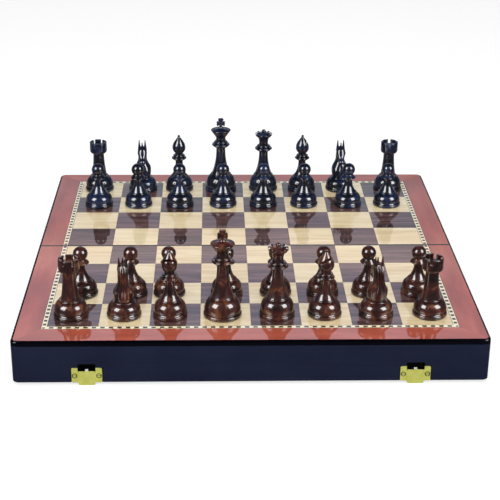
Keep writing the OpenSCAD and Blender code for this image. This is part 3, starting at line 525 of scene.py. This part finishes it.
def collar(z, edge, edge_up, bead, bead_up, neck, neck_up):
    """Collar: a thin wide disc, a smaller bead above it and a slope up to the neck."""
    return np.vstack((
        [[edge - 2.4, z + 0.6]], arc((edge - 0.6, z + edge_up + 0.3), 0.6, -60, 80, 10),
        arc((edge - 1.1, z + edge_up + 1.2), 0.4, -60, 90, 8), [[bead - 0.8, z + edge_up + 1.8]],
        arc((bead - 0.8, z + bead_up + 0.1), 0.8, -65, 85, 12),
        [[neck + 0.5, z + bead_up + 0.7], [neck, z + neck_up]]))


def eased(outline, soft=0.16, pace=1.7, bend=7.0):
    """Rounds an outline's corners by blurring it over soft millimetres, then keeps one
    point for each pace millimetres of length or bend degrees of turning."""
    step = 0.05
    run = np.append(0, np.cumsum(np.hypot(*np.diff(outline, axis=0).T)))
    place = np.arange(0, run[-1], step)
    dense = np.column_stack([np.interp(place, run, outline[:, k]) for k in (0, 1)])
    reach = int(3 * soft / step)
    weight = np.exp(-0.5 * (np.arange(-reach, reach + 1) * step / soft) ** 2)
    padded = np.pad(dense, ((reach, reach), (0, 0)), mode="reflect", reflect_type="odd")
    blurred = np.column_stack([
        np.convolve(padded[:, k], weight / weight.sum(), "valid") for k in (0, 1)])
    blurred = np.vstack((outline[:1], blurred[1:], outline[-1:]))
    side = np.diff(blurred, axis=0)
    heading = np.unwrap(np.arctan2(side[:, 1], side[:, 0]))
    turn = np.append(0, np.cumsum(np.abs(np.diff(heading))))
    measure = np.append(0, np.cumsum(np.hypot(*side.T)) / pace + np.degrees(turn) / bend)
    even = np.linspace(0, measure[-1], int(measure[-1]) + 2)
    kept = np.column_stack([np.interp(even, measure, blurred[:, k]) for k in (0, 1)])
    kept[:, 0] = np.maximum(kept[:, 0], 0)
    return kept


def tube(grid, low, high):
    """Vertices and faces of a grid of rings, stacked from the bottom up, with fans of
    triangles from its ends to the points low and high."""
    rows, sides = grid.shape[:2]
    i, j = np.meshgrid(np.arange(rows - 1), np.arange(sides), indexing="ij")
    k = (j + 1) % sides
    quads = np.stack((
        i * sides + j, i * sides + k, (i + 1) * sides + k, (i + 1) * sides + j), -1)
    j = np.arange(sides)
    k = (j + 1) % sides
    last = (rows - 1) * sides
    base = np.stack((k, j, np.full(sides, rows * sides)), -1)
    crown = np.stack((last + j, last + k, np.full(sides, rows * sides + 1)), -1)
    verts = np.vstack((grid.reshape(-1, 3), [low, high]))
    return verts, quads.reshape(-1, 4).tolist() + base.tolist() + crown.tolist()


def lathe(outline, sides=72, angles=None):
    """Surface of revolution of [radius, height] rows in millimetres, closed at both
    poles. angles may give each row its own column angles."""
    if angles is None:
        angles = np.linspace(0, 2 * np.pi, sides, endpoint=False)[None, :]
    r, z = outline[1:-1, :1], outline[1:-1, 1:]
    grid = np.stack((r * np.cos(angles), r * np.sin(angles), z + 0 * angles), -1)
    return tube(grid, [0, 0, outline[0, 1]], [0, 0, outline[-1, 1]])


def slab(outline, thick):
    """Prism of a flat [x, z] outline, thick millimetres deep along Y, as vertices and
    faces. The outline runs anticlockwise seen from the front."""
    count = len(outline)
    flat = np.asarray(outline, float)
    near = np.column_stack((flat[:, 0], np.full(count, -thick / 2), flat[:, 1]))
    far = near * (1, -1, 1)
    i = np.arange(count)
    k = (i + 1) % count
    walls = np.stack((i, i + count, k + count, k), -1)
    ends = [list(range(count)), list(range(2 * count - 1, count - 1, -1))]
    return np.vstack((near, far)), ends + walls.tolist()


def joined(*parts):
    """One set of vertices and faces from several."""
    verts, faces, start = [], [], 0
    for points, rings in parts:
        verts.append(points)
        faces += [[v + start for v in ring] for ring in rings]
        start += len(points)
    return np.vstack(verts), faces


def sawn(body, tool):
    """The body with the tool's volume taken out of it, both as vertices and faces."""
    held = []
    for points, rings in (body, tool):
        mesh = bpy.data.meshes.new("blank")
        mesh.from_pydata(np.asarray(points).tolist(), [], [list(map(int, f)) for f in rings])
        held.append(bpy.data.objects.new("blank", mesh))
        bpy.context.scene.collection.objects.link(held[-1])
    cut = held[0].modifiers.new("saw", "BOOLEAN")
    cut.operation, cut.solver, cut.object = "DIFFERENCE", "EXACT", held[1]
    mesh = held[0].evaluated_get(bpy.context.evaluated_depsgraph_get()).data
    points = np.empty(len(mesh.vertices) * 3)
    mesh.vertices.foreach_get("co", points)
    rings = [list(face.vertices) for face in mesh.polygons]
    for blank in held:
        bpy.data.meshes.remove(blank.data)
    return points.reshape(-1, 3), rings


# Pawn: a foot, a waisted stem, one collar and a ball.
pawn = lathe(eased(np.vstack((
    foot(14.3, 13.2, 9.2), stem((8.2, 14.8), (3.6, 28.6), 2.2), [[5.2, 28.8]],
    arc((6.9, 30.3), 0.5, -50, 60), [[4.6, 33.5]], arc((0, 38.7), 6.5, -44, 90, 30)))))

# Rook: a stout stem and a hollow turret with six merlons. Each merlon has its own columns
# of points, and three more columns cross the notch beside it.
TURRET_R, TURRET_TOP, TURRET_WALL, NOTCH_H, NOTCH_W = 8.95, 53.4, 2.4, 4.6, 2.6
MERLONS, FACETS, NOTCH_COLUMNS, SLACK = 6, 9, 3, 0.001
WELL_R, FLOOR_Z = TURRET_R - TURRET_WALL, TURRET_TOP - NOTCH_H
rook_outline = eased(np.vstack((
    foot(15, 14.4, 9.8), stem((8, 16), (5.65, 40.2), 1.8),
    [[6.3, 40.6], [8.3, 42.2], [TURRET_R, 43.6], [TURRET_R, TURRET_TOP - 0.5],
     [TURRET_R - 0.5, TURRET_TOP], [WELL_R, TURRET_TOP], [WELL_R, FLOOR_Z],
     [0, FLOOR_Z - 0.6]])))
radius, height = rook_outline[1:-1, 0], rook_outline[1:-1, 1]
edge = np.arcsin(NOTCH_W / 2 / np.maximum(radius, WELL_R))[:, None]
sector = 2 * np.pi / MERLONS
part = np.linspace(0, 1, FACETS)[None, :]
merlon = np.concatenate((
    edge + SLACK + (sector - 2 * (edge + SLACK)) * part, sector - edge + SLACK,
    sector + 0 * edge, sector + edge - SLACK), axis=1)
rook = lathe(rook_outline, angles=np.concatenate(
    [merlon + k * sector for k in range(MERLONS)], axis=1))
wall = (height > FLOOR_Z - 0.01) & (radius > WELL_R - 0.3)
notch = np.tile(np.arange(FACETS + NOTCH_COLUMNS) >= FACETS, MERLONS)
rook[0][:-2, 2].reshape(len(radius), -1)[wall[:, None] & notch[None, :]] = FLOOR_Z

# Bishop: an egg-shaped mitre with a knob on it, and a slit sawn into its front.
bishop = lathe(eased(np.vstack((
    foot(14.8, 14.2, 9.4), stem((8.4, 15.8), (3.8, 32.8), 2.4),
    collar(32.8, 7.8, 2.4, 6.2, 5.4, 3.9, 8.2),
    through([(4.3, 41.2), (5.8, 43), (6.8, 45.4), (6.95, 47.6), (6.5, 50), (5.4, 52.5),
             (3.6, 55.3), (1.3, 58.4)]), arc((0, 59.5), 1.35, -35, 90)))))
tilt, slit = np.radians(56), 1
blade, flat = slab([(0, -slit), (14, -slit), (14, slit), (0, slit)], 18)
blade = blade @ np.array([[np.cos(tilt), 0, np.sin(tilt)], [0, 1, 0],
                          [-np.sin(tilt), 0, np.cos(tilt)]]) + (1.6, 0, 48.4)
bishop = sawn(bishop, (blade, flat))

# Queen: a flared cup whose rim is cut into eight points, and a domed cap with a ball. The
# cuts are round scoops between the points, and the rim keeps the smaller of its own height
# and the scoop's, which a logarithm of summed exponentials rounds over SOFT.
POINTS, SCOOP_R, SCOOP_Z, SCOOP_RISE, SOFT = 8, 1.9, 63.2, 5, 0.25
queen = lathe(eased(np.vstack((
    foot(15.3, 15.8, 10.3), stem((9.3, 17.4), (4.6, 43.4), 2.4),
    collar(43.4, 9.1, 2.5, 7, 5.5, 4.6, 9.2),
    through([(4.7, 54), (5.6, 57.4), (8.3, 60.2)]), arc((7.95, 62.3), 1.05, -15, 125, 12),
    through([(6.4, 62.4), (4.4, 63.7), (1.9, 63.9)]),
    arc((0, 64.85), 2.25, -25, 90)))), 192)
x, y, z = queen[0].T
radius, sector = np.hypot(x, y), 2 * np.pi / POINTS
off = radius * np.sin(np.abs(np.remainder(np.arctan2(y, x), sector) - sector / 2))
scoop = SCOOP_Z + np.where(
    off < SCOOP_R, -np.sqrt(np.maximum(0, SCOOP_R ** 2 - off ** 2)),
    SCOOP_RISE * (off - SCOOP_R))
rounded = -SOFT * np.log(np.exp(-z / SOFT) + np.exp(-scoop / SOFT))
queen[0][:, 2] = np.where((radius > 6.5) & (z > 60), rounded, z)

# King: a straight flared cup, a low cap and a cross with flared arms.
king = joined(
    lathe(eased(np.vstack((
        foot(16.6, 16.6, 10.8), stem((9.8, 18.2), (4.75, 47.5), 2.4),
        collar(47.5, 9.4, 2.7, 7.2, 5.8, 4.95, 9.6), [[5.05, 58.8], [5.6, 59.4]],
        arc((9.9, 66.4), 0.5, -35, 60), through([(9.4, 67.2), (5.5, 68.5), (2.6, 69)]),
        [[2.1, 70], [0, 70]])))),
    slab(np.array([
        (-1.9, 0), (1.9, 0), (1.2, 3.1), (3.6, 2.1), (4.4, 3.1), (4.4, 6.2), (3.6, 7),
        (1.3, 5.9), (2.9, 8.9), (2.2, 10), (-2.2, 10), (-2.9, 8.9), (-1.3, 5.9), (-3.6, 7),
        (-4.4, 6.2), (-4.4, 3.1), (-3.6, 2.1), (-1.2, 3.1)]) + (0, 69), 3.4))

# Knight: a turned foot, and a carved horse's neck, head, ears and forelock. It looks
# towards +X. The carver sinks flutes into the mane and a crease between the breasts.


def closed(grid):
    """The tube of a grid of rings, closed at the centres of its two end rings."""
    return tube(grid, grid[0].mean(0), grid[-1].mean(0))


# The neck's rows give the height over the base, the places of back and front, the half
# width, and the depth of the flutes and of the crease as shares of the radius.
BASE_Z, SHOULDER, CHEEK, FLUTES = 14.6, 8.8, 4.8, 12
neck = through([
    (-0.8, -8.4, 8.4, SHOULDER * 0.84, 0, 0.06), (2.4, -9.4, 9.2, SHOULDER * 0.95, 0, 0.15),
    (6.6, -10.1, 8.8, SHOULDER, 0.06, 0.2), (10.6, -10.4, 6.9, SHOULDER * 0.96, 0.1, 0.15),
    (14.6, -10.2, 4.4, SHOULDER * 0.7, 0.15, 0.05), (18.6, -9.7, 3.1, SHOULDER * 0.54, 0.2, 0),
    (22.6, -8.8, 3.4, CHEEK * 0.96, 0.22, 0), (26.6, -7.6, 4.8, CHEEK * 0.95, 0.24, 0),
    (29.6, -6, 4.8, CHEEK * 0.96, 0.26, 0), (31.6, -4.4, 3.9, CHEEK * 0.88, 0.22, 0),
    (32.9, -2.9, 2.3, CHEEK * 0.66, 0.1, 0), (33.4, -1.8, 1, CHEEK * 0.32, 0, 0)], 6)
a = np.linspace(0, 2 * np.pi, 144, endpoint=False)[None, :]
height, back, front, half, groove, parting = (neck[:, k:k + 1] for k in range(6))
flute = groove * np.maximum(0, -np.cos(a)) * (1 - np.cos(FLUTES * a)) / 2
crease = parting * np.maximum(0, 1 - np.abs(np.sin(2 * a))) * (np.cos(a) > 0.7)
neck = closed(np.stack((
    (back + front) / 2 + (1 - flute - crease) * np.cos(a) * (front - back) / 2,
    half * (1 - flute) * np.sin(a), BASE_Z + height + 0 * a), -1))

# The head's rows give the distance down the face, the places of brow and jaw and the half
# width. Bell curves sink the mouth, nostrils and eye sockets and raise the eyes.
POLL_X, POLL_Z, DROP = 0.4, 30.4, np.radians(48.9)
head = through([
    (0, 4.3, 6.2, CHEEK * 0.94), (3.2, 4.5, 7.2, CHEEK), (6.4, 3.6, 6.4, CHEEK * 0.94),
    (9.4, 2.7, 3.8, CHEEK * 0.74), (12.4, 2.5, 2.9, CHEEK * 0.62), (15, 2.9, 3, CHEEK * 0.67),
    (16.8, 2.5, 2.7, CHEEK * 0.6), (17.6, 1.3, 1.4, CHEEK * 0.34)], 10)
a = np.linspace(0, 2 * np.pi, 72, endpoint=False)[None, :]
down, brow, jaw, half = (head[:, k:k + 1] for k in range(4))
lean = np.cos(a) * np.where(np.cos(a) > 0, jaw, brow)
mouth = 0.35 * np.exp(-((lean - 0.9) / 0.35) ** 2) * np.clip((down - 12.4) / 1.2, 0, 1)
nostril = 0.5 * np.exp(-((down - 15.3) / 0.7) ** 2 - ((lean + 1.1) / 0.6) ** 2)
socket = 0.45 * np.exp(-((down - 5.2) / 1.1) ** 2 - ((lean + 1.9) / 0.55) ** 2)
eye = 0.45 * np.exp(-((down - 5.2) / 0.8) ** 2 - ((lean + 0.9) / 0.6) ** 2)
side = np.sin(a) * (half - (mouth + nostril + socket - eye) * np.sign(np.abs(np.sin(a))))
head = closed(np.stack((
    POLL_X + down * np.cos(DROP) - lean * np.sin(DROP), side,
    BASE_Z + POLL_Z - down * np.sin(DROP) - lean * np.cos(DROP)), -1))


def lock(root, root_r, tip_r, top):
    """Tapering ear or lock of mane from its root up to height top, with a round tip."""
    u = np.linspace(0, 1, 13)
    outline = np.column_stack((
        root_r + (tip_r - root_r) * u ** 0.9, root[2] + (top - tip_r - root[2]) * u))
    outline = np.vstack(([[0, root[2]]], outline, arc((0, top - tip_r), tip_r, 20, 90, 6)))
    points, rings = lathe(outline, 24)
    return points + (root[0], root[1], 0), rings


knight = joined(
    lathe(eased(np.vstack((foot(15, 13, 9.8), [[0, 14.6]])))), neck, head,
    lock((-1.4, 3.1, 43.2), 1.9, 0.4, 54.8), lock((-1.4, -3.1, 43.2), 1.9, 0.4, 54.8),
    lock((1.7, 0, 44.2), 1.8, 0.4, 53))

# How far pieces are turned, in degrees anticlockwise from above, as the photo shows them.
TURNS = {
    "brown_knight_b": 4, "brown_bishop_c": -90, "brown_bishop_f": -62, "brown_knight_g": 12,
    "brown_rook_h": 10, "black_rook_a": 6, "black_knight_b": 182, "black_bishop_c": 90,
    "black_knight_g": 182, "black_rook_h": 25}
SHAPES = {"pawn": pawn, "rook": rook, "bishop": bishop, "queen": queen, "king": king,
          "knight": knight}
for node in list(nodes):
    if not node.startswith(("brown_", "black_")):
        continue
    colour, kind = node.split("_")[:2]
    low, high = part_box(node)
    turn = np.radians(TURNS.get(node, 0) + (90 if kind == "knight" else 0))
    spun = np.array([
        [np.cos(turn), np.sin(turn), 0], [-np.sin(turn), np.cos(turn), 0], [0, 0, 1]])
    verts, faces = SHAPES[kind]
    middle = ((low.x + high.x) / 2, (low.y + high.y) / 2, low.z)
    piece = new_piece(node + "_turned", verts / 1000 @ spun + middle, faces,
                      brown_stain if colour == "brown" else black_stain, smooth=40)
    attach(piece, node)
    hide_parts(node)


# Studio: a white sweep under and behind the box, two window-shaped softboxes in front
# that show in every dome, a broad light overhead and a weak one low in front. The sweep is
# white to the camera. Polished faces mirror it dark near the box and paler behind it.

SWEEP_REACH, SWEEP_GLOW = 4, 0.68
sweep, tree, out = finish("white_paper_sweep")
seen = add(tree, "LightPath")
place = add(tree, "TexCoord")
axes = add(tree, "SeparateXYZ", {"Vector": place.outputs["Object"]})
behind = add(tree, "MapRange", {"Value": axes.outputs["Y"], "From Min": 0.1, "From Max": 0.5,
                                "To Min": 0.06, "To Max": 0.45})
mirrored = add(tree, "Math", {0: seen.outputs["Is Glossy Ray"], 1: behind.outputs["Result"]},
               operation="MULTIPLY")
shown = add(tree, "Math", {0: seen.outputs["Is Camera Ray"], 1: mirrored.outputs["Value"]},
            operation="MAXIMUM")
shown = add(tree, "Math", {0: shown.outputs["Value"], 1: seen.outputs["Is Transmission Ray"]},
            operation="MAXIMUM")
fibre = add(tree, "TexNoise", {"Scale": 900.0, "Detail": 2.0})
paper = ramp(tree, fibre.outputs["Fac"], [(0.3, "#a4a4a4"), (0.7, "#a8a8a8")])
near = add(tree, "Math", {0: seen.outputs["Is Glossy Ray"], 1: mirrored.outputs["Value"]},
           operation="SUBTRACT")
hid = add(tree, "Mix", {0: near.outputs["Value"]}, data_type="RGBA")
tree.links.new(paper.outputs["Color"], hid.inputs[6])
hid.inputs[7].default_value = linear("#33363c")
matt = add(tree, "BsdfDiffuse", {"Color": hid.outputs[2]})
glow = add(tree, "Emission", {"Color": (1, 1, 1, 1)})
level = add(tree, "Math", {0: shown.outputs["Value"], 1: SWEEP_GLOW}, operation="MULTIPLY")
tree.links.new(level.outputs["Value"], glow.inputs["Strength"])
both = add(tree, "AddShader", {0: matt.outputs["BSDF"], 1: glow.outputs["Emission"]})
tree.links.new(both.outputs["Shader"], out.inputs["Surface"])
corners = np.array([(-1, -1, 0), (1, -1, 0), (1, 1, 0), (-1, 1, 0)]) * SWEEP_REACH
ground = new_piece("floor", corners, [(0, 1, 2, 3)], sweep)

# Reflections see a dark room in front, and behind the box a scrim whose tint and
# brightness change with height and which is brightest in the middle.
world = bpy.data.worlds.new("studio")
bpy.context.scene.world = world
world.use_nodes = True
tree = world.node_tree
tree.nodes.clear()
out = add(tree, "OutputWorld")
seen = add(tree, "LightPath")
shown = add(tree, "Math", {
    0: seen.outputs["Is Camera Ray"], 1: seen.outputs["Is Transmission Ray"]},
    operation="MAXIMUM")
towards = add(tree, "TexCoord")
axes = add(tree, "SeparateXYZ", {"Vector": towards.outputs["Generated"]})
back = add(tree, "MapRange", {"Value": axes.outputs["Y"], "From Min": -0.2, "From Max": 0.45})
room = ramp(tree, back.outputs["Result"], [
    (0.0, "#111b29"), (0.35, "#333d4c"), (1.0, "#ffffff")])
scrim = ramp(tree, axes.outputs["Z"], [
    (0.0, "#4a545c"), (0.33, "#5b6670"), (0.35, "#a2b2c2"), (0.366, "#9cadbe"),
    (0.378, "#aaa9bd"), (0.39, "#d9cbd1"), (0.402, "#f4e4ea"), (0.415, "#c6c3d8"),
    (0.435, "#bcc4de"), (0.461, "#d4e1f4"), (0.48, "#c4d0e2"), (0.54, "#666c76"),
    (0.75, "#43474f")])
aside = add(tree, "Math", {0: axes.outputs["X"]}, operation="ABSOLUTE")
middle = add(tree, "MapRange", {
    "Value": aside.outputs["Value"], "From Min": 0.13, "From Max": 0.4, "To Min": 1.65,
    "To Max": 0.3})
sky = add(tree, "Mix", {0: 1.0}, data_type="RGBA", blend_type="MULTIPLY")
tree.links.new(room.outputs["Color"], sky.inputs[6])
tree.links.new(scrim.outputs["Color"], sky.inputs[7])
studio = add(tree, "Background", {
    "Color": sky.outputs[2], "Strength": middle.outputs["Result"]})
haze = add(tree, "Background", {"Color": (1, 1, 1, 1), "Strength": 0.35})
white = add(tree, "Background", {"Color": (1, 1, 1, 1), "Strength": 1.0})
lit = add(tree, "MixShader", {0: seen.outputs["Is Glossy Ray"], 1: haze.outputs["Background"],
                              2: studio.outputs["Background"]})
all_rays = add(tree, "MixShader", {0: shown.outputs["Value"], 1: lit.outputs["Shader"],
                                   2: white.outputs["Background"]})
tree.links.new(all_rays.outputs["Shader"], out.inputs["Surface"])


def softbox(name, place, aim, wide, tall, power, glossy, diffuse):
    """A rectangular area light at place, turned towards aim. glossy and diffuse say which
    rays see it."""
    lamp = bpy.data.lights.new(name, "AREA")
    lamp.shape, lamp.size, lamp.size_y, lamp.energy = "RECTANGLE", wide, tall, power
    made = bpy.data.objects.new(name, lamp)
    made.location = place
    made.rotation_euler = (Vector(aim) - Vector(place)).to_track_quat("-Z", "Y").to_euler()
    made.visible_glossy, made.visible_diffuse = glossy, diffuse
    bpy.context.scene.collection.objects.link(made)


for name, side in (("left_window", -1), ("right_window", 1)):
    softbox(name, (side * 1.17, -0.85, 0.98), (0, 0, 0.05), 0.85, 1.1, 41, True, False)
softbox("overhead", (0, -0.3, 1.8), (0, 0, 0), 1.8, 1.8, 30, False, True)
softbox("front_fill", (0, -1.8, 0.6), (0, 0, 0), 1.6, 0.6, 17, False, True)

# Camera: a short telephoto a little left of the middle, looking down on the board. The
# focal length is in pixels of the square picture, as it was fitted to the board's grid.
EYE = (-0.03172, -1.14206, 0.53224)
YAW, PITCH, ROLL = np.radians((1.783, 23.516, 0.540))
FOCAL, PICTURE, SENSOR = 1282.76, 500, 36
forward = np.array([
    np.sin(YAW) * np.cos(PITCH), np.cos(YAW) * np.cos(PITCH), -np.sin(PITCH)])
right = np.cross(forward, (0, 0, 1))
right /= np.linalg.norm(right)
up = np.cross(right, forward)
across = right * np.cos(ROLL) + up * np.sin(ROLL)
upward = -right * np.sin(ROLL) + up * np.cos(ROLL)
lens = bpy.data.cameras.new("camera")
lens.sensor_width, lens.lens = SENSOR, FOCAL / PICTURE * SENSOR
lens.clip_start, lens.clip_end = 0.05, 30
camera = bpy.data.objects.new("camera", lens)
camera.matrix_world = Matrix(
    np.column_stack((across, upward, -forward, EYE)).tolist() + [[0, 0, 0, 1]])
bpy.context.scene.collection.objects.link(camera)
bpy.context.scene.camera = camera
bpy.context.scene.view_settings.view_transform = "Standard"
